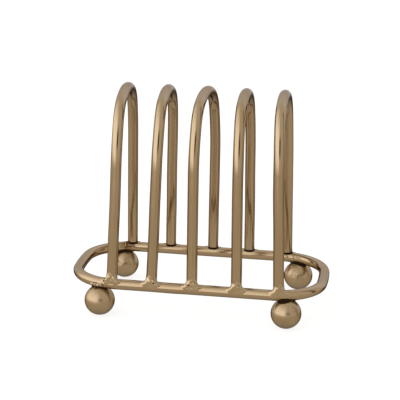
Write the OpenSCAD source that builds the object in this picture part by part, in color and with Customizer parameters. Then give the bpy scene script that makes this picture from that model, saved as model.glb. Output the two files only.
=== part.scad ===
// Toast rack: hoops of round wire brazed across the top of a wire ring that stands on ball feet.
// Millimetres. The rack's length lies along X, its front is towards -Y, and Z is up.
// The origin is on the surface that the rack stands on, under the middle of the ring.
// The hoops carry the small lean and turn of work set by hand.

/* [Wire] */
// Diameter of the round wire that the ring and the hoops are bent from
wire_d = 6; // [5:0.1:7]

/* [Base ring] */
// Length of the ring, between wire centres
ring_l = 140; // [130:0.5:150]
// Distance between the two rails, between wire centres
ring_w = 70.7; // [66:0.1:76]
// Bend radius of the four corners
corner_r = 26.3; // [22:0.1:28]
// Bend radius of the slightly bowed ends
end_r = 177; // [120:1:300]

/* [Hoops] */
// Spacing of the hoops along the rack
hoop_pitch = 23.3; // [21:0.1:24]
// Height of the hoops' tops above the ring, between wire centres
hoop_h = 103.8; // [90:0.1:115]
// Slope of the legs from the vertical, in degrees
leg_slope = 3.75; // [3:0.25:4.5]
// Bend radius of the crown
crown_r = 40; // [36:1:46]
// Angle that the crown covers on each side of its top, in degrees
crown_a = 21; // [18:1:24]
// Bend radius of the shoulders
shoulder_r = 20.3; // [18:0.1:22]
// Bend radius of the haunches, between the shoulders and the legs
haunch_r = 87; // [80:1:100]
// Depth that a leg's sawn end is let into the ring
leg_seat = 0.3; // [0.3:0.1:1]

/* [Hand setting] */
// How far each hoop stands from its even spacing, from left to right
hoop_shift = [0.2, -0.3, 0.5, 0.5, 0.2];
// Lean of each hoop along the rack, in degrees, positive to the right
hoop_lean = [0.6, 0.7, -0.4, -1.1, -1.9];
// Turn of each hoop about its own upright middle line, in degrees
hoop_turn = [1.5, 0.7, -1.6, 0.8, 1.3];
// Distance of the front feet from the middle, left and right
front_feet_x = [-52.6, 52];
// Distance of the rear feet from the middle, left and right
rear_feet_x = [-52, 53.2];

/* [Feet] */
// Diameter of a ball foot
ball_d = 17; // [15:0.5:19]
// Depth that a ball is let into the underside of the ring
ball_seat = 1.1; // [0.8:0.1:1.4]
// Diameter of the flat that a ball stands on
ball_flat_d = 3; // [2:0.5:5]

/* [Brazing] */
// Size of the braze fillets beside a hoop's front leg
front_fillet = 1.6; // [1.5:0.1:2.6]
// Size of those beside its rear leg
rear_fillet = 0.5; // [0.4:0.1:2.6]
// How far the braze stays under the wire's own surface
braze_inset = 0.3; // [0.2:0.05:0.4]
// Distance of the ring's butt joint from the first hoop
joint_gap = 4.9; // [4.5:0.1:6]
// Thickness of the bead over that joint
bead_t = 0.3; // [0.2:0.05:0.5]
// Length of the bead along the wire
bead_l = 1.4; // [1:0.1:2]

/* [Hidden] */

$fn = 96;
// Finer facets, for the braze, which is only tenths of a millimetre thick in places.
fine_fn = 288;
brass = "#98805e";
braze_brass = "#b49a70";
front = -1;
rear = 1;
left = 0;
right = 1;

wire_r = wire_d / 2;
// Lengths of wire meet with a lap: one of the two is a hair thinner and runs on into the other.
thin_d = wire_d - 0.04;
lap = 0.4;
ball_r = ball_d / 2;
half_l = ring_l / 2;
half_w = ring_w / 2;
middle_hoop = 3;

// A ball's centre stands this high once its flat is cut, and the ring's centre line this high.
ball_z = sqrt(pow(ball_r, 2) - pow(ball_flat_d / 2, 2));
ring_z = ball_z + ball_r + wire_r - ball_seat;

// A corner's arc touches the rail and the end's arc: its centre, and the end arc's half angle.
corner_y = half_w - corner_r;
end_x = half_l - end_r;
corner_x = end_x + sqrt(pow(end_r - corner_r, 2) - pow(corner_y, 2));
end_a = asin(corner_y / (end_r - corner_r));

// Distance of the ring's centre line from the X axis, at a place along the rack.
function ring_y(x) = corner_y + sqrt(pow(corner_r, 2) - pow(max(abs(x) - corner_x, 0), 2));
// Angle of the ring's centre line from the X axis there, on the rear side, in degrees.
function ring_heading(x) = -sign(x) * asin(max(abs(x) - corner_x, 0) / corner_r);

// Place of a hoop along the rack, and of a foot.
function hoop_x(i) = (i - middle_hoop) * hoop_pitch + hoop_shift[i - 1];
function foot_x(side, end) = side == front ? front_feet_x[end] : rear_feet_x[end];

// One side of a hoop in its own plane, as bends that touch each other: the crown's centre is on
// the middle line, the shoulder's and the haunch's lie on the normals where the bends meet, and
// the leg is a tangent from the haunch down to the rail at half width w.
function on_normal(a) = [sin(a), cos(a)];
crown_c = [0, hoop_h - crown_r];
shoulder_c = crown_c + (crown_r - shoulder_r) * on_normal(crown_a);
leg_normal = on_normal(90 - leg_slope);
function haunch_a(w) =
    asin((w * leg_normal[0] - haunch_r - leg_normal * shoulder_c) / (shoulder_r - haunch_r)) - leg_slope;
function haunch_c(w) = shoulder_c + (shoulder_r - haunch_r) * on_normal(haunch_a(w));
function leg_top(w) = haunch_c(w) + haunch_r * leg_normal;
// The leg's sawn end, on the leg's centre line just above the ring's.
end_z = wire_r - leg_seat;
function leg_end(w) = [w - end_z * tan(leg_slope), end_z];

// ---- wire, bent in the XY plane ----

// A bend about c, from one angle to another, counted from +X.
module bend(c, r, from, to) {
    translate([c[0], c[1], 0])
        rotate([0, 0, from])
            rotate_extrude(angle = to - from)
                translate([r, 0])
                    circle(d = wire_d);
}

// The same, thinner, and running on into its neighbours at both ends.
module lapped_bend(c, r, from, to) {
    lap_a = lap / r * 180 / PI;
    translate([c[0], c[1], 0])
        rotate([0, 0, from - lap_a])
            rotate_extrude(angle = to - from + 2 * lap_a)
                translate([r, 0])
                    circle(d = thin_d);
}

// A straight length of thinner wire from a to b, running on past b.
module lapped_straight(a, b) {
    translate([a[0], a[1], 0])
        rotate([0, 0, atan2(b[1] - a[1], b[0] - a[0])])
            rotate([0, 90, 0])
                cylinder(h = norm(b - a) + lap, d = thin_d);
}

// ---- base ring ----

module ring_wire() {
    translate([0, 0, ring_z]) {
        for (side = [front, rear])
            lapped_straight([-corner_x - lap, side * half_w], [corner_x, side * half_w]);
        for (mx = [0, 1]) mirror([mx, 0, 0]) {
            lapped_bend([end_x, 0], end_r, -end_a, end_a);
            for (my = [0, 1]) mirror([0, my, 0])
                bend([corner_x, corner_y], corner_r, end_a, 90);
        }
    }
}

module base_ring() {
    color(brass) ring_wire();
}

// The ring's wire is closed by a butt joint at the rear left. Its bead is filed away on the outer
// side and stays on the upper inner quarter of the wire.
module ring_butt_braze() {
    $fn = fine_fn;
    joint_x = hoop_x(1) - joint_gap;
    color(braze_brass)
        difference() {
            translate([joint_x, ring_y(joint_x), ring_z])
                rotate([0, 0, ring_heading(joint_x)])
                    intersection() {
                        rotate([0, 90, 0])
                            cylinder(h = bead_l, r = wire_r + bead_t, center = true);
                        translate([-wire_d, -2 * wire_d, -wire_r / 5])
                            cube(2 * wire_d);
                    }
            ring_wire();
        }
}

// ---- hoops ----

// Puts a hoop that is drawn in the XY plane, with its height along Y, in its place on the ring.
module place_hoop(i) {
    translate([hoop_x(i), 0, ring_z])
        rotate([0, hoop_lean[i - 1], hoop_turn[i - 1]])
            rotate([90, 0, 90])
                children();
}

module leg_wire(i, side) {
    w = ring_y(hoop_x(i));
    place_hoop(i)
        mirror([side == front ? 1 : 0, 0, 0])
            lapped_straight(leg_end(w), leg_top(w));
}

module hoop(i) {
    w = ring_y(hoop_x(i));
    color(brass)
        difference() {
            union() {
                for (side = [front, rear]) {
                    leg_wire(i, side);
                    place_hoop(i) mirror([side == front ? 1 : 0, 0, 0]) {
                        bend(haunch_c(w), haunch_r, leg_slope, 90 - haunch_a(w));
                        lapped_bend(shoulder_c, shoulder_r, 90 - haunch_a(w), 90 - crown_a);
                    }
                }
                place_hoop(i) bend(crown_c, crown_r, 90 - crown_a, 90 + crown_a);
            }
            ring_wire();
        }
}

// The braze under and beside a leg's sawn end, on the outer side of the ring only: a plug under
// the end, and on each side a fillet that slopes down at 45 degrees to the top of the rail.
module leg_braze(i, side) {
    $fn = fine_fn;
    w = ring_y(hoop_x(i));
    braze_r = wire_r - braze_inset;
    plug_r = wire_r - braze_inset / 2;
    fillet = side == front ? front_fillet : rear_fillet;
    // Height on the leg's centre line at which a fillet's own centre line leaves it.
    rise = fillet + 2 * wire_r - braze_r * sqrt(2);
    color(braze_brass)
        difference() {
            place_hoop(i)
                mirror([side == front ? 1 : 0, 0, 0])
                    translate([w, 0, 0])
                        intersection() {
                            union() {
                                rotate([-90, 0, 0])
                                    cylinder(h = 2 * end_z, r = plug_r, center = true);
                                for (way = [-1, 1])
                                    translate([0, rise, 0])
                                        rotate([way * 135, 0, 0])
                                            rotate([-90, 0, 0])
                                                cylinder(h = rise * sqrt(2), r = braze_r);
                            }
                            translate([0, 0, -wire_d])
                                cube([wire_d, 2 * wire_d, 2 * wire_d]);
                        }
            leg_wire(i, side);
            ring_wire();
        }
}

// ---- feet ----

module place_foot(side, end) {
    x = foot_x(side, end);
    translate([x, side * ring_y(x), ball_z])
        rotate([0, 0, side * ring_heading(x)])
            children();
}

module ball_foot(side, end) {
    color(brass)
        difference() {
            place_foot(side, end)
                difference() {
                    sphere(r = ball_r);
                    translate([-ball_r, -ball_r, -ball_z - ball_d])
                        cube(ball_d);
                }
            ring_wire();
        }
}

// The braze that fills the narrow gap around a ball's seat, along the underside of the wire.
module foot_braze(side, end) {
    $fn = fine_fn;
    seat_z = ring_z - ball_z - wire_r;
    seat_l = sqrt(pow(ball_r, 2) - pow(seat_z, 2));
    color(braze_brass)
        difference() {
            place_foot(side, end)
                difference() {
                    translate([0, 0, seat_z + ball_seat])
                        rotate([0, 90, 0])
                            cylinder(h = 2 * (seat_l + ball_seat), r = wire_r - braze_inset, center = true);
                    sphere(r = ball_r);
                }
            ring_wire();
        }
}

base_ring();
ring_butt_braze();
hoop(1);  // hoop_1
hoop(2);  // hoop_2
hoop(3);  // hoop_3
hoop(4);  // hoop_4
hoop(5);  // hoop_5
ball_foot(front, left);  // foot_front_left
ball_foot(front, right);  // foot_front_right
ball_foot(rear, left);  // foot_rear_left
ball_foot(rear, right);  // foot_rear_right
leg_braze(1, front);  // front_braze_1
leg_braze(2, front);  // front_braze_2
leg_braze(3, front);  // front_braze_3
leg_braze(4, front);  // front_braze_4
leg_braze(5, front);  // front_braze_5
leg_braze(1, rear);  // rear_braze_1
leg_braze(2, rear);  // rear_braze_2
leg_braze(3, rear);  // rear_braze_3
leg_braze(4, rear);  // rear_braze_4
leg_braze(5, rear);  // rear_braze_5
foot_braze(front, left);  // foot_braze_front_left
foot_braze(front, right);  // foot_braze_front_right
foot_braze(rear, left);  // foot_braze_rear_left
foot_braze(rear, right);  // foot_braze_rear_right
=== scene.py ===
# Toast rack: five brass wire hoops brazed across a wire ring that stands on four ball feet.
# Lengths are in millimetres until a mesh is made; the CAD frame is in metres.
import math

import bpy
import numpy as np
from mathutils import Matrix, Vector


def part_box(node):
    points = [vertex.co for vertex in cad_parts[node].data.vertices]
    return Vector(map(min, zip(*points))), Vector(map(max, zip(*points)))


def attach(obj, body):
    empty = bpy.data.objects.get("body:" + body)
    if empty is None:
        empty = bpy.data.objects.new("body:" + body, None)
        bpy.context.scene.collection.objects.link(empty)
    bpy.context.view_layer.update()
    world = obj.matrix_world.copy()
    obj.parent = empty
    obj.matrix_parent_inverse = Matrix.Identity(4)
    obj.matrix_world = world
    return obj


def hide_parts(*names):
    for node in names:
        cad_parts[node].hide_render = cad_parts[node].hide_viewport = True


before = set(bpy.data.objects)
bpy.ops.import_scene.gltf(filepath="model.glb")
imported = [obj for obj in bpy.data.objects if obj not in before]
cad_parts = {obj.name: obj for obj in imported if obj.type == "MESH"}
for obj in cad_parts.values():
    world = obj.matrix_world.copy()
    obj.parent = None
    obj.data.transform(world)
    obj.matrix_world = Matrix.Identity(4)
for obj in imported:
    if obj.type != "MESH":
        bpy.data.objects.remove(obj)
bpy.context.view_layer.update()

MM = 0.001
FRONT, REAR = -1, 1
SIDE_NAMES = {FRONT: "front", REAR: "rear"}


def box_mm(node):
    """A node's low and high corners in millimetres."""
    low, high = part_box(node)
    return np.array(low) / MM, np.array(high) / MM


def smooth(t):
    """Smoothstep of t, held to 0..1."""
    t = np.clip(t, 0.0, 1.0)
    return t * t * (3.0 - 2.0 * t)


def between_corners(values, base, f):
    """Values on a lattice, mixed from the eight corners of the cells at `base` by the shares f."""
    total = 0.0
    for corner in range(8):
        step = np.array([corner & 1, corner >> 1 & 1, corner >> 2 & 1])
        weight = np.prod(np.where(step, f, 1.0 - f), axis=-1)
        i = (base + step) % values.shape[:3]
        total = total + weight * values[i[..., 0], i[..., 1], i[..., 2]]
    return total


def noise(points, size, seed):
    """Smooth value noise in -1..1 with lumps about `size` millimetres across."""
    lattice = np.random.default_rng(seed).uniform(-1.0, 1.0, (NOISE_CELLS,) * 3)
    q = np.asarray(points, dtype=float) / size
    base = np.floor(q).astype(int)
    return between_corners(lattice, base, smooth(q - base))


# The noise repeats after this many lumps.
NOISE_CELLS = 16

# ---- base ring: the closed line that its wire follows ----

RING_LOW, RING_HIGH = box_mm("base_ring")
WIRE_R = (RING_HIGH[2] - RING_LOW[2]) / 2
RING_Z = (RING_HIGH[2] + RING_LOW[2]) / 2
HALF_W = (RING_HIGH[1] - RING_LOW[1]) / 2 - WIRE_R
HALF_L = (RING_HIGH[0] - RING_LOW[0]) / 2 - WIRE_R
CORNER_R = 26.3
END_R = 177.0
RING_STEP = 0.9
CORNER_Y = HALF_W - CORNER_R
END_X = HALF_L - END_R
CORNER_X = END_X + math.sqrt((END_R - CORNER_R) ** 2 - CORNER_Y**2)
END_A = math.asin(CORNER_Y / (END_R - CORNER_R))


def ring_offset(x, y):
    """Distance in plan from the ring's centre line, positive outside it."""
    ax, ay = np.abs(x), np.abs(y)
    corner_a = np.arctan2(ay - CORNER_Y, ax - CORNER_X)
    rail = ay - HALF_W
    corner = np.hypot(ax - CORNER_X, ay - CORNER_Y) - CORNER_R
    end = np.hypot(ax - END_X, ay) - END_R
    return np.where(ax <= CORNER_X, rail, np.where(corner_a >= END_A, corner, end))


def ring_y(x):
    """Half the ring's width at x, between wire centres."""
    over = max(abs(x) - CORNER_X, 0.0)
    return CORNER_Y + math.sqrt(CORNER_R**2 - over**2)


def ring_heading(x):
    """Angle of the rear rail from the X axis at x."""
    return -math.copysign(math.asin(max(abs(x) - CORNER_X, 0.0) / CORNER_R), x)


def ring_distance(p):
    """Distance from the surface of the ring's wire, negative inside."""
    return np.hypot(ring_offset(p[..., 0], p[..., 1]), p[..., 2] - RING_Z) - WIRE_R


def ring_line():
    """Points around the ring, about a millimetre apart, starting at the middle of the rear rail."""
    corner_a = math.pi / 2 - END_A

    def arc(cx, cy, r, start, turn):
        n = max(2, round(abs(turn) * r / RING_STEP))
        a = start + turn * np.arange(n) / n
        return np.stack([cx + r * np.cos(a), cy + r * np.sin(a)], axis=1)

    def straight(x0, x1, y):
        n = round(abs(x1 - x0) / RING_STEP)
        t = np.arange(n) / n
        return np.stack([x0 + (x1 - x0) * t, np.full(n, y)], axis=1)

    parts = [
        straight(0, -CORNER_X, HALF_W),
        arc(-CORNER_X, CORNER_Y, CORNER_R, math.pi / 2, corner_a),
        arc(-END_X, 0, END_R, math.pi - END_A, 2 * END_A),
        arc(-CORNER_X, -CORNER_Y, CORNER_R, math.pi + END_A, corner_a),
        straight(-CORNER_X, CORNER_X, -HALF_W),
        arc(CORNER_X, -CORNER_Y, CORNER_R, -math.pi / 2, corner_a),
        arc(END_X, 0, END_R, -END_A, 2 * END_A),
        arc(CORNER_X, CORNER_Y, CORNER_R, END_A, corner_a),
        straight(CORNER_X, 0, HALF_W),
    ]
    flat = np.concatenate(parts)
    return np.column_stack([flat, np.full(len(flat), RING_Z)])


# ---- hoops: the line that a hoop's wire follows, by bends that touch each other ----

HOOP_PITCH = 23.3
HOOP_H = 103.8
LEG_SLOPE = math.radians(3.75)
CROWN_R, CROWN_A = 40.0, math.radians(21)
SHOULDER_R, HAUNCH_R = 20.3, 87.0
LEG_SEAT = 0.3
# The rear legs' ends stand on a little braze.
REAR_LIFT = 0.5
END_ABOVE_RING = {FRONT: WIRE_R - LEG_SEAT, REAR: WIRE_R - LEG_SEAT + REAR_LIFT}
HOOP_SHIFT = [0.2, -0.3, 0.5, 0.5, 0.2]
HOOP_LEAN = [0.6, 0.7, -0.4, -1.1, -1.9]
HOOP_TURN = [1.5, 0.7, -1.6, 0.8, 1.3]
# Small errors of bending by hand: twist at the leg tops and the height where it is full, where
# the crown ends up, and how far the wire wanders.
HOOP_TWIST = [-0.55, -0.41, 0.92, 0.43, 0.66]
CROWN_RISE = [-0.12, -0.18, 0.15, -0.06, 0.2]
CROWN_SIDE = [0.05, 0.15, -0.1, -0.18, 0.07]
TWIST_H = 66.0
WANDER_X, WANDER_Y = 0.16, 0.10
HOOP_STEP = 0.9


def hoop_x(i):
    return (i - 3) * HOOP_PITCH + HOOP_SHIFT[i - 1]


def half_hoop(w, end_height):
    """One side of a hoop in its own plane, from its sawn end up to the crown, as (across, up)."""
    def on_normal(a):
        return np.array([math.sin(a), math.cos(a)])

    crown_c = np.array([0.0, HOOP_H - CROWN_R])
    shoulder_c = crown_c + (CROWN_R - SHOULDER_R) * on_normal(CROWN_A)
    normal = np.array([math.cos(LEG_SLOPE), math.sin(LEG_SLOPE)])
    haunch_a = math.asin(
        (w * normal[0] - HAUNCH_R - normal @ shoulder_c) / (SHOULDER_R - HAUNCH_R)
    ) - LEG_SLOPE
    haunch_c = shoulder_c + (SHOULDER_R - HAUNCH_R) * on_normal(haunch_a)
    leg_top = haunch_c + HAUNCH_R * normal
    leg_end = np.array([w - end_height * math.tan(LEG_SLOPE), end_height])

    def bend(c, r, start, stop):
        n = max(3, round(abs(stop - start) * r / HOOP_STEP))
        a = start + (stop - start) * np.arange(n) / n
        return c + r * np.stack([np.cos(a), np.sin(a)], axis=1)

    n = round(np.linalg.norm(leg_top - leg_end) / HOOP_STEP)
    leg = leg_end + (leg_top - leg_end) * (np.arange(n) / n)[:, None]
    half_pi = math.pi / 2
    return np.concatenate([
        leg,
        bend(haunch_c, HAUNCH_R, LEG_SLOPE, half_pi - haunch_a),
        bend(shoulder_c, SHOULDER_R, half_pi - haunch_a, half_pi - CROWN_A),
        bend(crown_c, CROWN_R, half_pi - CROWN_A, half_pi),
        [[0.0, HOOP_H]],
    ])


def place_hoop(i, across, up):
    """Puts points of a hoop's plane on the ring, with the hoop's lean, turn and small errors."""
    lean, turn = math.radians(HOOP_LEAN[i - 1]), math.radians(HOOP_TURN[i - 1])
    x = up * math.sin(lean)
    z = up * math.cos(lean)
    y = across
    px = hoop_x(i) + x * math.cos(turn) - y * math.sin(turn)
    py = x * math.sin(turn) + y * math.cos(turn)
    climb = smooth(up / HOOP_H)
    px = px + HOOP_TWIST[i - 1] * np.clip(up / TWIST_H, 0, 1) * across / HALF_W
    py = py + CROWN_SIDE[i - 1] * climb
    pz = RING_Z + z + CROWN_RISE[i - 1] * climb
    return np.stack([px, py, pz], axis=-1)


def hoop_line(i):
    """Points along a hoop from its front end over the crown to its rear end."""
    width = ring_y(hoop_x(i))
    front = half_hoop(width, END_ABOVE_RING[FRONT]) * np.array([-1.0, 1.0])
    rear = half_hoop(width, END_ABOVE_RING[REAR])
    flat = np.concatenate([front, rear[-2::-1]])
    line = place_hoop(i, flat[:, 0], flat[:, 1])
    lift = smooth((flat[:, 1] - 8.0) / 20.0)
    line[:, 0] += WANDER_X * noise(line + 40.0 * i, 21.0, 7) * lift
    line[:, 1] += WANDER_Y * noise(line + 40.0 * i, 17.0, 8) * lift
    return line


def leg_axis(i, side):
    """A leg's sawn end and the direction that the leg rises in."""
    line = hoop_line(i)
    end, above = (line[0], line[9]) if side == FRONT else (line[-1], line[-10])
    return end, (above - end) / np.linalg.norm(above - end)


# ---- meshes ----

def make_piece(name, points, faces, grain, soot_and_shade, material, slot, *nodes, stain=None):
    """A smooth-shaded piece that rides on the rack and stands for some CAD nodes."""
    mesh = bpy.data.meshes.new(name)
    mesh.from_pydata((np.asarray(points) * MM).tolist(), [], faces)
    mesh.update()
    attribute = mesh.attributes.new("grain", "FLOAT_VECTOR", "POINT")
    attribute.data.foreach_set("vector", np.asarray(grain, dtype=np.float32).ravel())
    stain = np.zeros(len(points)) if stain is None else stain
    for key, values in (("soot_and_shade", soot_and_shade), ("stain", stain)):
        attribute = mesh.attributes.new(key, "FLOAT", "POINT")
        attribute.data.foreach_set("value", np.asarray(values, dtype=np.float32))
    mesh.polygons.foreach_set("use_smooth", [True] * len(mesh.polygons))
    mesh.materials.append(material)
    piece = bpy.data.objects.new(name, mesh)
    bpy.context.scene.collection.objects.link(piece)
    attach(piece, "root")
    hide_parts(*nodes)
    return piece


def sweep(line, radii, across, closed):
    """Rings of points around a line. `across` is square to the line's plane."""
    if closed:
        tangent = np.roll(line, -1, axis=0) - np.roll(line, 1, axis=0)
    else:
        tangent = np.gradient(line, axis=0)
    tangent /= np.linalg.norm(tangent, axis=1)[:, None]
    first = across - tangent * (tangent @ across)[:, None]
    first /= np.linalg.norm(first, axis=1)[:, None]
    second = np.cross(tangent, first)
    n = radii.shape[1]
    a = 2 * math.pi * np.arange(n) / n
    offset = np.cos(a)[None, :, None] * first[:, None] + np.sin(a)[None, :, None] * second[:, None]
    return line[:, None] + radii[:, :, None] * offset, a


def grid_faces(rows, columns, closed):
    """Quads between rings of points, the last ring joined to the first where closed."""
    faces = []
    for r in range(rows if closed else rows - 1):
        s = (r + 1) % rows
        for c in range(columns):
            d = (c + 1) % columns
            faces.append((r * columns + c, r * columns + d, s * columns + d, s * columns + c))
    return faces


def arc_length(line):
    return np.concatenate([[0.0], np.cumsum(np.linalg.norm(np.diff(line, axis=0), axis=1))])


WIRE_SIDES = 48
# The wire is this much thicker or thinner in places.
WIRE_WAVE = 0.018


def wire_grain(length, angles, shift):
    """The wire as if it were straight, so that its drawing lines run along it."""
    grain = np.empty((len(length), len(angles), 3))
    grain[..., 0] = WIRE_R * np.cos(angles)
    grain[..., 1] = WIRE_R * np.sin(angles)
    grain[..., 2] = length[:, None] + shift
    return grain


BUTT_X = hoop_x(1) - 4.9
# The front rail dips by DIP around DIP_X, over DIP_L to each side.
DIP, DIP_X, DIP_L = 0.12, -11.5, 9.0


def base_ring(material):
    """The ring's wire, scorched and a little dark at its butt joint."""
    line = ring_line()
    length = arc_length(line)
    line[:, 2] -= DIP * smooth(1 - np.abs(line[:, 0] - DIP_X) / DIP_L) * (line[:, 1] < 0)
    grain = wire_grain(length, 2 * math.pi * np.arange(WIRE_SIDES) / WIRE_SIDES, 0.0)
    radii = WIRE_R + WIRE_WAVE * noise(grain, 7.0, 3)
    points, angles = sweep(line, radii, np.array([0.0, 0.0, 1.0]), True)
    butt = np.exp(-(((points[..., 0] - BUTT_X) / 0.35) ** 2)) * (points[..., 1] > 0)
    # The dark line at the butt is the joint itself; the rest is painted shade with soot where legs and
    # balls meet the ring.
    soot_and_shade = np.maximum(0.35 * butt, joint_soot_and_shade(points))
    scorch_at = np.array([BUTT_X + 1.0, ring_y(BUTT_X), RING_Z + 1.5])
    scorch = 0.7 * smooth(1 - (np.linalg.norm(points - scorch_at, axis=-1) - 2.5) / 3.0)
    return make_piece(
        "base_ring_wire", points.reshape(-1, 3), grid_faces(*points.shape[:2], True),
        grain.reshape(-1, 3), soot_and_shade.ravel(), material, "wire_brass", "base_ring",
        stain=scorch.ravel(),
    )


def joint_soot_and_shade(points):
    """Painted shade with soot on the ring, where legs and balls meet it."""
    dark = np.zeros(points.shape[:-1])
    for side in (FRONT, REAR):
        for i in range(1, 6):
            end, rise = leg_axis(i, side)
            below = (end - points) @ rise
            from_axis = np.linalg.norm(points - end + below[..., None] * rise, axis=-1)
            under = smooth((WIRE_R + 0.3 - from_axis) / 0.4)
            dark = np.maximum(dark, under * smooth((LEG_SOOT_SHADE - np.abs(below)) / 0.5))
    for side, end in FEET:
        gap = np.linalg.norm(points - ball_centre(side, end), axis=-1) - BALL_R
        dark = np.maximum(dark, seat_soot_and_shade(points, side, end, gap, RING_SOOT_SHADE[side]))
    return dark


# How far below a leg's end the ring gets painted shade and soot.
LEG_SOOT_SHADE = 1.1


def seat_soot_and_shade(points, side, end, gap, reach):
    """Painted shade with soot along a ball's seat, on points that are `gap` away from the other piece
    there.
    """
    middle, half_length = SOOT_SHADE_SPAN.get((side, end), (0.0, SEAT_L))
    along = points[..., 0] - ball_centre(side, end)[0] - middle
    away = np.hypot(along / half_length, np.maximum(gap, 0.0) / reach)
    return smooth((1.15 - away) / 0.3)


# Half the length of a ball's seat. On one seat the painted shade and soot have another middle and half
# length.
SEAT_L = 4.6
SOOT_SHADE_SPAN = {(FRONT, "right"): (-1.0, 4.0)}
# How far from a seat the ring and the balls get painted shade and soot.
RING_SOOT_SHADE = {FRONT: 0.8, REAR: 1.5}
BALL_SOOT_SHADE = {
    (FRONT, "left"): 1.0, (FRONT, "right"): 2.4, (REAR, "left"): 1.4, (REAR, "right"): 1.8,
}


# Steps back from a leg's sawn end and the radius lost at each, for its slightly rounded edge.
END_STEPS = [(0.0, 0.32), (0.06, 0.15), (0.2, 0.04), (0.45, 0.0)]


def hoop_wire(i, material):
    """A hoop's wire with a closed, slightly rounded sawn end on each leg."""
    line = hoop_line(i)
    length = arc_length(line)
    total = length[-1]
    keep = (length > 0.7) & (length < total - 0.7)
    steps = [s for s, _ in END_STEPS]
    at = np.concatenate([steps, length[keep], total - np.array(steps[::-1])])
    lost = np.zeros(len(at))
    for k, (_, cut) in enumerate(END_STEPS):
        lost[k] = lost[-1 - k] = cut
    line = np.stack([np.interp(at, length, line[:, k]) for k in range(3)], axis=1)
    angles = 2 * math.pi * np.arange(WIRE_SIDES) / WIRE_SIDES
    grain = wire_grain(at, angles, 300.0 * i)
    radii = WIRE_R + WIRE_WAVE * noise(grain, 7.0, 4) - lost[:, None]
    points, _ = sweep(line, radii, np.array([1.0, 0.0, 0.0]), False)
    rows = points.shape[0]
    faces = grid_faces(rows, WIRE_SIDES, False)
    points, grain = points.reshape(-1, 3), grain.reshape(-1, 3)
    for start, centre, flip in ((0, line[0], True), ((rows - 1) * WIRE_SIDES, line[-1], False)):
        rim = list(range(start, start + WIRE_SIDES))
        for scale in (0.8, 0.55, 0.3):
            base = len(points)
            ring = centre + (points[start : start + WIRE_SIDES] - centre) * scale
            points = np.concatenate([points, ring])
            grain = np.concatenate([grain, grain[start : start + WIRE_SIDES]])
            inner = list(range(base, base + WIRE_SIDES))
            for c in range(WIRE_SIDES):
                d = (c + 1) % WIRE_SIDES
                quad = (rim[c], inner[c], inner[d], rim[d])
                faces.append(quad if flip else quad[::-1])
            rim = inner
        points = np.concatenate([points, centre[None]])
        grain = np.concatenate([grain, grain[start : start + 1]])
        hub = len(points) - 1
        for c in range(WIRE_SIDES):
            d = (c + 1) % WIRE_SIDES
            faces.append((rim[d], rim[c], hub) if flip else (rim[c], rim[d], hub))
    points = rest_on_ring(slant_rear_end(i, points), 1)
    # Painted shade with flux: the wire darkens within half a millimetre of the ring, along the gap
    # under a leg's end.
    soot_and_shade = smooth(1 - (ring_distance(points) - 0.15) / 0.3) * 0.9
    return make_piece(
        f"hoop_wire_{i}", points, faces, grain, soot_and_shade, material, "wire_brass", f"hoop_{i}",
        stain=heat_stain(i, points),
    )


# How far a rear end's edge rises for each millimetre inward.
END_SLANT = 0.14


def slant_rear_end(i, points):
    """Tips a rear leg's sawn end, so that its inner edge is higher than its outer edge."""
    end, rise = leg_axis(i, REAR)
    up = (points - end) @ rise
    inward = end[1] - points[:, 1]
    near = np.linalg.norm(points - end, axis=1) < 2 * WIRE_R
    return points + (near * END_SLANT * inward * smooth(1 - up / WIRE_R))[:, None] * rise


def heat_stain(i, points):
    """Brown streaks that the torch left up the inner faces of the rear legs."""
    stain = np.zeros(len(points))
    for low, high, across, width, strength in STAINS.get(i, []):
        end, rise = leg_axis(i, REAR)
        up = (points - end) @ rise
        axis = end + up[:, None] * rise
        side = (points - axis)[:, 0]
        facing = smooth((axis - points)[:, 1] / WIRE_R * 2.0)
        drift = across + 0.35 * np.sin(up / 6.0 + i)
        streak = np.exp(-(((side - drift) / width) ** 2))
        ends = smooth((up - low) / 4.0) * smooth((high - up) / 7.0)
        near = np.abs(points[:, 1] - axis[:, 1]) < 2 * WIRE_R
        stain = np.maximum(stain, strength * streak * ends * facing * near)
    return stain


# For each hoop: from and to up the leg, place across it, width, strength.
STAINS = {
    1: [(1.5, 24.0, -0.3, 0.6, 0.85)],
    2: [(14.0, 34.0, -0.1, 0.7, 0.6)],
    4: [(6.0, 70.0, -0.9, 0.5, 0.5)],
    5: [(0.5, 40.0, -0.4, 0.5, 0.6)],
}


# The gap that is left between a piece and the ring it rests on.
CLEARANCE = 0.01


def rest_on_ring(points, way):
    """Moves points inside the ring's wire up (way 1) or down (way -1) to its surface."""
    points = points.copy()
    off = ring_offset(points[:, 0], points[:, 1])
    near = np.abs(off) < WIRE_R
    surface = np.sqrt(np.maximum(WIRE_R**2 - off**2, 0.0)) + CLEARANCE
    limit = RING_Z + way * surface
    inside = near & (way * (points[:, 2] - limit) < 0) & (way * (points[:, 2] - RING_Z) > 0)
    points[inside, 2] = limit[inside]
    return points


# ---- feet ----

FEET = [(FRONT, "left"), (FRONT, "right"), (REAR, "left"), (REAR, "right")]
BALL_LOW, BALL_HIGH = box_mm("foot_front_left")
BALL_R = (BALL_HIGH[0] - BALL_LOW[0]) / 2
FLAT_R = 1.5
BALL_ROWS, BALL_COLUMNS = 110, 160
PIT_DEPTH, PIT_R = 0.10, 0.45
BALL_Z = math.sqrt(BALL_R**2 - FLAT_R**2)


def ball_centre(side, end):
    low, high = box_mm(f"foot_{SIDE_NAMES[side]}_{end}")
    return np.array([(low[0] + high[0]) / 2, (low[1] + high[1]) / 2, BALL_Z])


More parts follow.
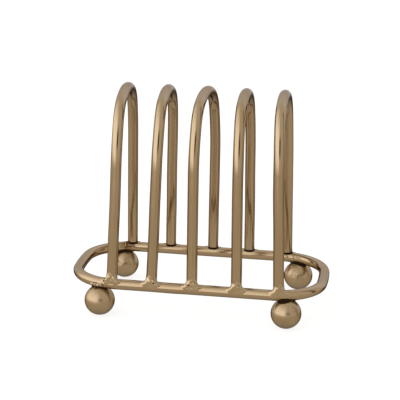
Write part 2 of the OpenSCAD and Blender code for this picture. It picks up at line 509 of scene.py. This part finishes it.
def ball_foot(side, end, material):
    """A turned ball with a small flat below and a seat that fits the ring above."""
    name = f"{SIDE_NAMES[side]}_{end}"
    centre = ball_centre(side, end)
    rows, columns = BALL_ROWS, BALL_COLUMNS
    polar = math.pi * (np.arange(1, rows) / rows)
    a = 2 * math.pi * np.arange(columns) / columns
    unit = np.stack([
        np.sin(polar)[:, None] * np.cos(a),
        np.sin(polar)[:, None] * np.sin(a),
        np.cos(polar)[:, None] * np.ones(columns),
    ], axis=-1).reshape(-1, 3)
    unit = np.concatenate([unit, [[0, 0, 1.0], [0, 0, -1.0]]])
    seed = 20 + FEET.index((side, end))
    radius = BALL_R + 0.03 * noise(unit * BALL_R, 5.0, seed)
    for px, pz in BALL_PITS[(side, end)]:
        py = -math.sqrt(1 - px * px - pz * pz)
        away = np.linalg.norm(unit - np.array([px, py, pz]), axis=1) * BALL_R
        radius -= PIT_DEPTH * np.exp(-((away / PIT_R) ** 2))
    points = centre + unit * radius[:, None]
    points[:, 2] = np.maximum(points[:, 2], 0.0)
    points = rest_on_ring(points, -1)
    faces = grid_faces(rows - 1, columns, False)
    top, bottom = len(points) - 2, len(points) - 1
    last = (rows - 2) * columns
    for c in range(columns):
        d = (c + 1) % columns
        faces.append((d, c, top))
        faces.append((last + c, last + d, bottom))
    faces = [f[::-1] for f in faces]
    # Painted shade with soot on the ball's top, in the gap next to the ring.
    seat = seat_soot_and_shade(points, side, end, ring_distance(points), BALL_SOOT_SHADE[(side, end)])
    pits = 0.7 * np.clip((BALL_R - radius - 0.06) / 0.05, 0, 1)
    return make_piece(
        f"ball_foot_{name}", points, faces, unit * BALL_R + 50.0 * seed,
        np.maximum(seat, pits), material, "ball_brass", f"foot_{name}",
    )


# Pits in the front of each ball, across and up, as shares of its radius.
BALL_PITS = {
    (FRONT, "left"): [(0.55, 0.0)],
    (FRONT, "right"): [],
    (REAR, "left"): [(-0.06, 0.35), (-0.3, 0.1)],
    (REAR, "right"): [(0.19, 0.16)],
}

# ---- braze ----

def soft_min(a, b, k):
    """Union of two distance fields with a fillet of about k between them."""
    h = np.clip(0.5 + 0.5 * (b - a) / k, 0.0, 1.0)
    return b + (a - b) * h - k * h * (1.0 - h)


def soft_max(a, b, k):
    return -soft_min(-a, -b, k)


def corner_fillet(a, b, r):
    """Union of two outlines that cross at right angles, with a fillet of radius r in the corner."""
    inner = np.hypot(np.maximum(r - a, 0.0), np.maximum(r - b, 0.0))
    return np.maximum(r, np.minimum(a, b)) - inner


def rod_distance(p, start, way, radius, low, high):
    """A round rod from `low` to `high` along a line."""
    along = (p - start) @ way
    side = np.linalg.norm((p - start) - along[..., None] * way, axis=-1) - radius
    return np.maximum(side, np.maximum(low - along, along - high))


def surface_net(field, low, step):
    """Quads around the space where the field is negative, one vertex per cell that it crosses."""
    inside = field < 0
    shape = np.array(field.shape)
    total = np.zeros(tuple(shape - 1) + (3,))
    count = np.zeros(tuple(shape - 1))
    corner = [(x, y, z) for x in (0, 1) for y in (0, 1) for z in (0, 1)]

    def part(array, c):
        return array[tuple(slice(k, n - 1 + k) for k, n in zip(c, shape))]

    for a in corner:
        for b in corner:
            if sum(b) - sum(a) != 1 or any(j < i for i, j in zip(a, b)):
                continue
            fa, fb = part(field, a), part(field, b)
            crosses = part(inside, a) != part(inside, b)
            t = np.where(crosses, fa / np.where(crosses, fa - fb, 1.0), 0.0)
            place = np.array(a, dtype=float) + t[..., None] * (np.array(b) - np.array(a))
            total += place * crosses[..., None]
            count += crosses
    used = count > 0
    cell = np.argwhere(used)
    points = low + step * (cell + total[used] / count[used][:, None])
    number = np.full(used.shape, -1)
    number[used] = np.arange(len(cell))
    faces = []
    for axis in range(3):
        u, v = (axis + 1) % 3, (axis + 2) % 3
        first = np.take(inside, range(shape[axis] - 1), axis)
        second = np.take(inside, range(1, shape[axis]), axis)
        for way, crossing in ((1, first & ~second), (-1, ~first & second)):
            at = np.argwhere(crossing)
            for k in (u, v):
                at = at[(at[:, k] > 0) & (at[:, k] < shape[k] - 1)]
            quad = []
            for du, dv in ((-1, -1), (0, -1), (0, 0), (-1, 0))[::way]:
                c = at.copy()
                c[:, u] += du
                c[:, v] += dv
                quad.append(number[tuple(c.T)])
            faces.append(np.stack(quad, axis=1))
    return points, np.concatenate(faces).tolist()


def settle(points, field, low, step):
    """Moves points that are close to the field's zero surface on to it, along the field's slope."""
    slopes = np.gradient(field, step)
    for _ in range(2):
        q = (points - low) / step
        base = np.floor(q).astype(int)
        value = between_corners(field, base, q - base)
        slope = np.stack([between_corners(s, base, q - base) for s in slopes], axis=1)
        move = value / np.maximum((slope**2).sum(axis=1), 0.3)
        points = points - slope * np.clip(move, -0.4 * step, 0.4 * step)[:, None]
    return points


def grid(low, high, step):
    """Points of a cubic lattice that fills a box."""
    axes = [np.arange(a, b, step) for a, b in zip(low, high)]
    return np.stack(np.meshgrid(*axes, indexing="ij"), axis=-1)


def joined_corners(field):
    """The field with a cell's face filled a little where only two opposite corners are inside."""
    for _ in range(JOIN_PASSES):
        found = False
        for u, v in ((0, 1), (0, 2), (1, 2)):
            corners = []
            for du, dv in ((0, 0), (1, 1), (1, 0), (0, 1)):
                cut = [slice(None)] * 3
                cut[u] = slice(du, field.shape[u] - 1 + du)
                cut[v] = slice(dv, field.shape[v] - 1 + dv)
                corners.append(field[tuple(cut)])
            for a, b, c, d in (corners, corners[2:] + corners[:2]):
                cross = (a < 0) & (b < 0) & (c >= 0) & (d >= 0)
                c[cross] = BARELY_INSIDE
                found = found or cross.any()
        if not found:
            break
    return field


def without_specks(points, faces):
    """The mesh without loose bits of fewer than SPECK points."""
    faces = np.array(faces)
    label = np.arange(len(points))
    while True:
        lower = label.copy()
        np.minimum.at(lower, faces.ravel(), np.repeat(label[faces].min(axis=1), 4))
        lower = lower[lower]
        if np.array_equal(lower, label):
            break
        label = lower
    kept = np.bincount(label, minlength=len(points))[label] >= SPECK
    number = np.cumsum(kept) - 1
    return points[kept], number[faces[kept[faces[:, 0]]]].tolist()


SPECK = 400
# Passes over the field while it has corners to join, and the value that joins them.
JOIN_PASSES = 20
BARELY_INSIDE = -0.001


def braze_piece(name, field, low, step, darken, material, node, brown=0.0):
    """A closed mesh around the space where the field is negative."""
    low = np.asarray(low, dtype=float) - step
    field = joined_corners(np.pad(field, 1, constant_values=step))
    points, faces = without_specks(*surface_net(field, low, step))
    points = settle(points, field, low, step)
    return make_piece(
        name, points, faces, points, darken(points), material, "braze", node,
        stain=np.full(len(points), brown),
    )


BRAZE_STEP = 0.16
# A braze lies SHRINK inside its outline, bulges by SKIN over the middle of a joint, reaches
# DEPTH into the wires it covers, and ends where it would be thinner than THINNEST.
SHRINK = 0.03
SKIN = 0.07
DEPTH = 0.35
THINNEST = 0.012
# Half the length along the rail that a leg's braze may take, and half the sides of its box.
BRAZE_L = 6.4
BRAZE_BOX = np.array([7.5, 4.4, 0.0])


def leg_braze(i, side, material):
    """Braze that carries a leg's outer face down on to the rail, with a sloping fillet each side."""
    end, rise = leg_axis(i, side)
    foot = end - rise * END_ABOVE_RING[side]
    low = foot - BRAZE_BOX - [0, 0, 3.6]
    high = foot + BRAZE_BOX + [0, 0, 7.6]
    p = grid(low, high, BRAZE_STEP)
    heading = ring_heading(foot[0]) * side
    rail = np.array([math.cos(heading), math.sin(heading), 0.0])
    outward = np.array([-math.sin(heading), math.cos(heading), 0.0]) * side
    leg = rod_distance(p, foot, rise, WIRE_R, END_ABOVE_RING[side], 60.0)
    whole_leg = rod_distance(p, foot, rise, WIRE_R, -60.0, 60.0)
    ring = ring_distance(p)
    slope = math.acos(rise[2])
    offset, height = ring_offset(p[..., 0], p[..., 1]), p[..., 2] - RING_Z
    up = height * math.cos(slope) - offset * math.sin(slope)
    ring_out = offset * math.cos(slope) + height * math.sin(slope)
    along = (p - foot) @ rail
    leg_out = (p - foot) @ np.cross(rail, rise) * -side
    out = leg_out + (ring_out - leg_out) * smooth(np.abs(along) / 4.0)
    outline = corner_fillet(np.abs(along) - WIRE_R, up - WIRE_R, FILLET[side])
    outline = np.maximum(outline, -up - WIRE_R)
    corner = np.hypot(np.abs(along) - WIRE_R, up - WIRE_R)
    edge_r = EDGE_R[side] + (WIRE_R - EDGE_R[side]) * smooth((corner - 1.0) / 2.4)
    over = np.maximum(out - (WIRE_R - edge_r), 0.0)
    rough = ROUGHNESS.get((i, side), SMOOTHEST) * noise(p, 1.3, 31 + i) * smooth((4.5 - corner) / 2.0)
    skin = SKIN * smooth((5.0 - np.hypot(along, up - 2.3)) / 1.4)
    fill = np.hypot(np.maximum(outline + edge_r, 0.0), over) - edge_r + rough - skin
    for at, size, dig in JOINT_SPOTS.get((i, side), []):
        spot = foot + rail * at[0] + outward * at[1] + rise * at[2]
        ball = np.linalg.norm(p - spot, axis=-1) - size
        fill = soft_max(fill, -ball, 0.2) if dig else soft_min(fill, ball + rough, 0.5)
    bare = np.minimum(leg, ring)
    added = np.minimum(whole_leg, ring) - fill
    field = np.maximum(fill + SHRINK, -(bare + DEPTH))
    field = np.maximum(field, INNER_CUT[side] - (p - foot) @ outward)
    field = soft_max(field, np.abs(along) - BRAZE_L, 0.3)
    field = np.maximum(field, np.where(bare < 0.35, 0.0, -9.0) + (THINNEST - added))
    if side == REAR:
        top = END_ABOVE_RING[REAR]
        core = rod_distance(p, foot, rise, WIRE_R - 0.35, top - CORE_H, top + 0.1)
        field = np.minimum(field, np.maximum(np.maximum(core, ring - 0.4), -(ring + 0.2)))
    name = f"{SIDE_NAMES[side]}_{i}"

    def darken(points):
        # Painted shade with flux: the braze darkens towards its inner cut, over the plug under a rear
        # leg's end.
        dark = 0.9 * smooth(1 - ((points - foot) @ outward - INNER_CUT[side]) / 0.8)
        for at, size, dig in JOINT_SPOTS.get((i, side), []):
            if dig:
                spot = foot + rail * at[0] + outward * at[1] + rise * at[2]
                dark = np.maximum(dark, smooth(1.7 - np.linalg.norm(points - spot, axis=1) / size))
        return dark

    return braze_piece(
        f"leg_braze_{name}", field, low, BRAZE_STEP, darken, material,
        f"{SIDE_NAMES[side]}_braze_{i}",
    )


# Height of the plug of braze under a rear leg's end, painted dark as shade in the gap there, with
# flux.
CORE_H = 0.8
FILLET = {FRONT: 1.7, REAR: 0.5}
# How sharply the braze turns over at its edge, close to the corner that it fills.
EDGE_R = {FRONT: 1.4, REAR: 2.4}
# Height of a braze's lumps. Most are nearly smooth.
ROUGHNESS = {(1, FRONT): 0.04, (3, FRONT): 0.05}
SMOOTHEST = 0.02
# The braze stops this far outside the leg's centre line.
INNER_CUT = {FRONT: 0.1, REAR: 1.0}
# Beads and pits at single joints: along the rail, outward, up; radius; and whether it is a pit.
JOINT_SPOTS = {
    (1, FRONT): [
        ((-4.6, 2.9, 0.4), 0.45, True), ((-4.2, 2.8, 1.3), 0.45, True),
        ((-3.8, 2.5, 2.2), 0.45, True), ((-3.5, 2.0, 3.1), 0.45, True),
    ],
    (2, FRONT): [((-0.7, 2.5, 3.5), 0.65, False), ((1.7, 2.7, 2.8), 0.45, True)],
    (3, FRONT): [
        ((-3.3, 1.8, 2.8), 0.85, False), ((-2.5, 2.1, 3.9), 0.85, False),
        ((-2.1, 2.2, 4.9), 0.65, False), ((-1.3, 2.9, 3.0), 0.42, True),
    ],
}


def foot_braze(side, end, material):
    """The thin fillet around a ball's seat, and the lumps that were left beside one of them."""
    centre = ball_centre(side, end)
    name = f"{SIDE_NAMES[side]}_{end}"
    low = centre + SEAT_BOX[0]
    high = centre + SEAT_BOX[1]
    p = grid(low, high, BRAZE_STEP)
    ball = np.linalg.norm(p - centre, axis=-1) - BALL_R
    ring = ring_distance(p)
    seed = 60 + FEET.index((side, end))
    rough = 0.12 * noise(p, 1.5, seed)
    bare = np.minimum(ball, ring)
    fill = soft_min(ball, ring, SEAT_FILLET) + rough * 0.6
    near = np.maximum(ball, ring) - 1.5
    for at, size in FOOT_LUMPS.get((side, end), []):
        away = p - centre - np.array(at)
        lump = np.linalg.norm(away * np.array([0.75, 1, 1]), axis=-1) - size
        fill = soft_min(fill, lump + 1.6 * rough, 0.5)
        near = np.minimum(near, np.linalg.norm(away, axis=-1) - size - 0.5)
    added = bare - fill
    field = np.maximum(fill + SHRINK, -(bare + DEPTH))
    field = np.maximum(np.maximum(field, THINNEST - added), near)

    # Painted shade with soot: the seat's fillet is dark all along the seat, except on the lumps.
    def darken(points):
        clean = np.zeros(len(points))
        for at, size in FOOT_LUMPS.get((side, end), []):
            away = np.linalg.norm(points - centre - np.array(at), axis=1) - size
            clean = np.maximum(clean, smooth(1 - away / 0.5))
        along = np.abs(points[:, 0] - centre[0])
        return (1 - clean) * smooth((SEAT_L + 0.6 - along) / 0.8)

    return braze_piece(
        f"seat_braze_{name}", field, low, BRAZE_STEP, darken, material, f"foot_braze_{name}"
    )


SEAT_FILLET = 1.3
# The box that a seat's braze is made in, from the ball's centre.
SEAT_BOX = np.array([[-7.5, -5.6, 4.6], [7.5, 5.6, 13.6]])
# Lumps beside a seat: their place from the ball's centre, and radius.
FOOT_LUMPS = {
    (FRONT, "left"): [
        ((-3.8, -2.6, 10.2), 0.9), ((-2.0, -2.8, 9.8), 1.05), ((-0.4, -3.0, 9.6), 0.95),
        ((1.0, -2.8, 9.5), 0.85), ((2.4, -2.9, 10.2), 0.75),
    ],
}


def butt_bead(material):
    """The bead left on the upper inner quarter of the ring's butt joint."""
    low_box, high_box = box_mm("ring_butt_braze")
    middle = (low_box + high_box) / 2
    centre = np.array([BUTT_X, ring_y(BUTT_X), RING_Z])
    heading = ring_heading(BUTT_X)
    rail = np.array([math.cos(heading), math.sin(heading), 0.0])
    outward = np.array([-math.sin(heading), math.cos(heading), 0.0])
    low, high = middle - BEAD_BOX, middle + BEAD_BOX
    p = grid(low, high, BEAD_STEP)
    rough = 0.1 * noise(p, 0.9, 71) + 0.05 * noise(p, 0.45, 72)
    along = (p - centre) @ rail
    ring = ring_distance(p)
    seam = 0.1 * np.exp(-((along / 0.2) ** 2))
    shell = ring - BEAD_T + rough + seam + 0.42 * (along / BEAD_HALF_L) ** 2
    out = (p - centre) @ outward
    field = np.maximum(shell, -(ring + 0.25))
    field = soft_max(field, out - 0.2, 0.3)
    field = soft_max(field, RING_Z - 0.4 - p[..., 2], 0.3)
    field = soft_max(field, np.abs(along) - BEAD_HALF_L, 0.15)

    def darken(points):
        return smooth(1 - np.abs((points - centre) @ rail) / 0.35)

    return braze_piece(
        "ring_butt_bead", field, low, BEAD_STEP, darken, material, "ring_butt_braze", brown=0.75,
    )


BEAD_T, BEAD_HALF_L = 0.34, 0.85
BEAD_STEP, BEAD_BOX = 0.09, 2.9


# ---- materials ----

def node(tree, kind, inputs=(), **settings):
    """A shader node; inputs are (name or index, value or output socket)."""
    made = tree.nodes.new(kind)
    for key, value in settings.items():
        setattr(made, key, value)
    for key, value in inputs:
        if isinstance(value, bpy.types.NodeSocket):
            tree.links.new(value, made.inputs[key])
        else:
            made.inputs[key].default_value = value
    return made


def maths(tree, operation, a, b=0.0, clamp=False):
    made = node(tree, "ShaderNodeMath", [(0, a), (1, b)], operation=operation, use_clamp=clamp)
    return made.outputs[0]


def mix_colour(tree, factor, a, b, blend="MIX"):
    made = tree.nodes.new("ShaderNodeMix")
    made.data_type = "RGBA"
    made.blend_type = blend
    for key, value in ((0, factor), (6, a), (7, b)):
        if isinstance(value, bpy.types.NodeSocket):
            tree.links.new(value, made.inputs[key])
        else:
            made.inputs[key].default_value = value
    return made.outputs[2]


def remap(tree, value, low, high, to_low, to_high):
    made = node(
        tree, "ShaderNodeMapRange",
        [(0, value), (1, low), (2, high), (3, to_low), (4, to_high)],
        interpolation_type="SMOOTHSTEP",
    )
    return made.outputs[0]


def texture_noise(tree, vector, scale, detail, rough=0.5):
    made = node(
        tree, "ShaderNodeTexNoise",
        [("Vector", vector), ("Scale", scale), ("Detail", detail), ("Roughness", rough)],
    )
    return made.outputs[0]


def scaled(tree, vector, scale):
    made = node(tree, "ShaderNodeVectorMath", [(0, vector), (1, scale)], operation="MULTIPLY")
    return made.outputs[0]


# Colour of the torch's brown stain, and of the soot, seams and pits, with painted shade in gaps, that
# the darkening attribute stands for.
STAIN = (0.19, 0.1, 0.035, 1)
SOOT_SHADE_COLOUR = (0.013, 0.005, 0.0015, 1)


def metal(name, main, warm, dark, rough, stretch, bump, edge_tint):
    """Aged brass: patches of warmer and darker tone, fine marks along the grain, dull soot with
    painted shade in gaps.
    """
    material = bpy.data.materials.new(name)
    material.use_nodes = True
    tree = material.node_tree
    tree.nodes.clear()
    grain = node(tree, "ShaderNodeAttribute", attribute_name="grain").outputs["Vector"]
    soot_and_shade = node(tree, "ShaderNodeAttribute", attribute_name="soot_and_shade").outputs["Fac"]
    stain = node(tree, "ShaderNodeAttribute", attribute_name="stain").outputs["Fac"]
    patches = texture_noise(tree, scaled(tree, grain, (1, 1, stretch[0])), 0.16, 3.0)
    streaks = texture_noise(tree, scaled(tree, grain, (1, 1, stretch[1])), 0.9, 4.0, 0.6)
    marks = texture_noise(tree, scaled(tree, grain, (1, 1, stretch[2])), 5.0, 3.0, 0.65)
    specks = texture_noise(tree, grain, 1.5, 4.0, 0.6)
    colour = mix_colour(tree, remap(tree, patches, 0.38, 0.62, 0.0, 1.0), main, warm)
    colour = mix_colour(tree, remap(tree, streaks, 0.52, 0.78, 0.0, 0.6), colour, dark)
    colour = mix_colour(tree, remap(tree, specks, 0.68, 0.78, 0.0, 0.5), colour, dark)
    colour = mix_colour(tree, stain, colour, STAIN)
    # Soot, seams and pits, with painted shade in gaps and contact lines, go nearly black and lose
    # their metal.
    colour = mix_colour(tree, remap(tree, soot_and_shade, 0.05, 0.85, 0.0, 0.98), colour, SOOT_SHADE_COLOUR)
    shine = remap(tree, streaks, 0.3, 0.75, rough[0], rough[1])
    shine = maths(tree, "ADD", shine, remap(tree, soot_and_shade, 0.1, 0.9, 0.0, 0.3), clamp=True)
    fine, coarse = maths(tree, "MULTIPLY", marks, 0.35), maths(tree, "MULTIPLY", streaks, 0.5)
    relief = node(tree, "ShaderNodeBump", [
        ("Height", maths(tree, "ADD", fine, coarse)), ("Strength", bump[0]), ("Distance", bump[1]),
    ])
    bare = remap(tree, soot_and_shade, 0.2, 0.9, 1.0, 0.0)
    shader = node(tree, "ShaderNodeBsdfPrincipled", [
        ("Base Color", colour), ("Metallic", bare), ("Roughness", shine),
        ("Normal", relief.outputs[0]), ("Specular Tint", edge_tint), ("Specular IOR Level", 0.03),
    ])
    output = tree.nodes.new("ShaderNodeOutputMaterial")
    tree.links.new(shader.outputs[0], output.inputs[0])
    return material


# How much of the metal's reflection is left at a glancing angle, where the aged surface dims it.
EDGE_TINT = (0.60, 0.55, 0.50, 1)

# ---- stage ----

def floor():
    """A wide disc of white paper with a soft glow, left out of reflections."""
    mesh = bpy.data.meshes.new("floor")
    angles = [2 * math.pi * k / FLOOR_SIDES for k in range(FLOOR_SIDES)]
    rim = [(FLOOR_R * math.cos(a), FLOOR_R * math.sin(a), 0) for a in angles]
    mesh.from_pydata(rim, [], [tuple(range(FLOOR_SIDES))])
    material = bpy.data.materials.new("floor_paper")
    material.use_nodes = True
    shader = material.node_tree.nodes["Principled BSDF"]
    shader.inputs["Base Color"].default_value = (0.25, 0.25, 0.25, 1)
    shader.inputs["Roughness"].default_value = 0.9
    shader.inputs["Specular IOR Level"].default_value = 0.0
    shader.inputs["Emission Color"].default_value = (1, 1, 1, 1)
    shader.inputs["Emission Strength"].default_value = FLOOR_GLOW
    mesh.materials.append(material)
    made = bpy.data.objects.new("floor", mesh)
    made.visible_glossy = False
    bpy.context.scene.collection.objects.link(made)


# The radius is in metres.
FLOOR_R, FLOOR_SIDES = 9.0, 96
FLOOR_GLOW = 0.83


def band(tree, value, start, stop, soft):
    """1 between start and stop, with soft edges."""
    rising = remap(tree, value, start - soft, start + soft, 0, 1)
    falling = remap(tree, value, stop - soft, stop + soft, 1, 0)
    return maths(tree, "MULTIPLY", rising, falling)


def studio():
    """Light by direction, with headings in degrees from the front towards +X: a broad window on
    the left, pale walls and ceiling, a warm table in front, dim ground behind with grey cloth low
    down, a dark gap at the right, and something dark in front, a little right of the middle. What
    the camera sees directly is plain pale paper."""
    world = bpy.data.worlds.new("studio")
    bpy.context.scene.world = world
    world.use_nodes = True
    tree = world.node_tree
    tree.nodes.clear()
    way = node(tree, "ShaderNodeTexCoord").outputs["Generated"]
    x, y, z = node(tree, "ShaderNodeSeparateXYZ", [(0, way)]).outputs
    front = maths(tree, "MULTIPLY", y, -1.0)
    heading = maths(tree, "MULTIPLY", maths(tree, "ARCTAN2", x, front), DEGREES)
    height = maths(tree, "MULTIPLY", maths(tree, "ARCSINE", z), DEGREES)
    ahead = band(tree, heading, -124, 128, 12)
    edge = maths(tree, "ADD", height, remap(tree, ahead, 0, 1, 9, 4))
    open_sky = remap(tree, edge, -6, 6, 0, 1)
    low = remap(tree, height, -85, -25, 0.42, 1.0)
    behind = mix_colour(tree, remap(tree, height, -45, -16, 1, 0), DIM, CLOTH)
    colour = mix_colour(tree, maths(tree, "MULTIPLY", ahead, low), behind, TABLE)
    far = maths(tree, "MULTIPLY", remap(tree, ahead, 0, 1, 1, 0), remap(tree, height, 30, 80, 1, 0))
    colour = mix_colour(tree, open_sky, colour, mix_colour(tree, far, WALLS, FAR_WALL))
    window = band(tree, heading, -112, 0, 18)
    window = maths(tree, "MULTIPLY", window, open_sky)
    window = maths(tree, "MULTIPLY", window, remap(tree, height, 10, 92, 1.0, 0.0))
    colour = mix_colour(tree, window, colour, WINDOW, "ADD")
    gap = maths(tree, "MULTIPLY", band(tree, heading, 92, 103, 3), band(tree, height, -12, 55, 5))
    colour = mix_colour(tree, maths(tree, "MULTIPLY", gap, 0.88), colour, DIM)
    object_ahead = maths(tree, "MULTIPLY", band(tree, heading, 4, 30, 3), band(tree, height, 7, 21, 3))
    colour = mix_colour(tree, maths(tree, "MULTIPLY", object_ahead, 0.97), colour, DARK_OBJECT)
    sky = node(tree, "ShaderNodeBackground", [("Color", colour), ("Strength", 1.0)])
    paper = node(tree, "ShaderNodeBackground", [("Color", (1, 1, 1, 1)), ("Strength", 1.0)])
    seen = node(tree, "ShaderNodeLightPath").outputs["Is Camera Ray"]
    mixed = node(
        tree, "ShaderNodeMixShader", [(0, seen), (1, sky.outputs[0]), (2, paper.outputs[0])]
    )
    output = tree.nodes.new("ShaderNodeOutputWorld")
    tree.links.new(mixed.outputs[0], output.inputs[0])


DEGREES = 180 / math.pi
DIM = (0.15, 0.11, 0.07, 1)
CLOTH = (0.48, 0.47, 0.46, 1)
TABLE = (0.70, 0.63, 0.50, 1)
DARK_OBJECT = (0.04, 0.03, 0.02, 1)
WALLS = (0.80, 0.76, 0.64, 1)
FAR_WALL = (0.92, 0.96, 1.06, 1)
WINDOW = (1.05, 1.08, 1.12, 1)


def camera():
    """The photographer's view: azimuth, elevation and roll in degrees, distance in metres."""
    az, el, roll = math.radians(8.1), math.radians(15.62), math.radians(1.41)
    distance, target = 0.8093, Vector((-0.0021, 0.0, 0.0603))
    back = Vector((math.sin(az) * math.cos(el), -math.cos(az) * math.cos(el), math.sin(el)))
    level = Vector((math.cos(az), math.sin(az), 0.0))
    upward = back.cross(level)
    right = level * math.cos(roll) + upward * math.sin(roll)
    up = upward * math.cos(roll) - level * math.sin(roll)
    data = bpy.data.cameras.new("camera")
    data.sensor_width = 36.0
    data.lens = 128.3
    data.clip_start, data.clip_end = 0.01, 50.0
    made = bpy.data.objects.new("camera", data)
    facing = Matrix((right, up, back)).transposed().to_4x4()
    made.matrix_world = Matrix.Translation(target + back * distance) @ facing
    bpy.context.scene.collection.objects.link(made)
    bpy.context.scene.camera = made


# Colours, roughness from and to, stretch of each pattern along the grain, and relief.
wire_brass = metal(
    "wire_brass", (0.43, 0.325, 0.215, 1), (0.41, 0.30, 0.19, 1), (0.30, 0.20, 0.11, 1),
    (0.09, 0.16), (0.12, 0.03, 0.02), (0.1, 0.00004), EDGE_TINT,
)
ball_brass = metal(
    "ball_brass", (0.43, 0.325, 0.215, 1), (0.41, 0.30, 0.185, 1), (0.31, 0.21, 0.12, 1),
    (0.25, 0.33), (1.0, 0.7, 0.6), (0.08, 0.00004), EDGE_TINT,
)
braze = metal(
    "braze", (0.46, 0.35, 0.235, 1), (0.42, 0.31, 0.195, 1), (0.28, 0.19, 0.1, 1),
    (0.12, 0.22), (1.0, 1.0, 1.0), (0.12, 0.00005), EDGE_TINT,
)

base_ring(wire_brass)
for i in range(1, 6):
    hoop_wire(i, wire_brass)
for side, end in FEET:
    ball_foot(side, end, ball_brass)
    foot_braze(side, end, braze)
for side in (FRONT, REAR):
    for i in range(1, 6):
        leg_braze(i, side, braze)
butt_bead(braze)

floor()
studio()
camera()
bpy.context.scene.view_settings.view_transform = "Standard"
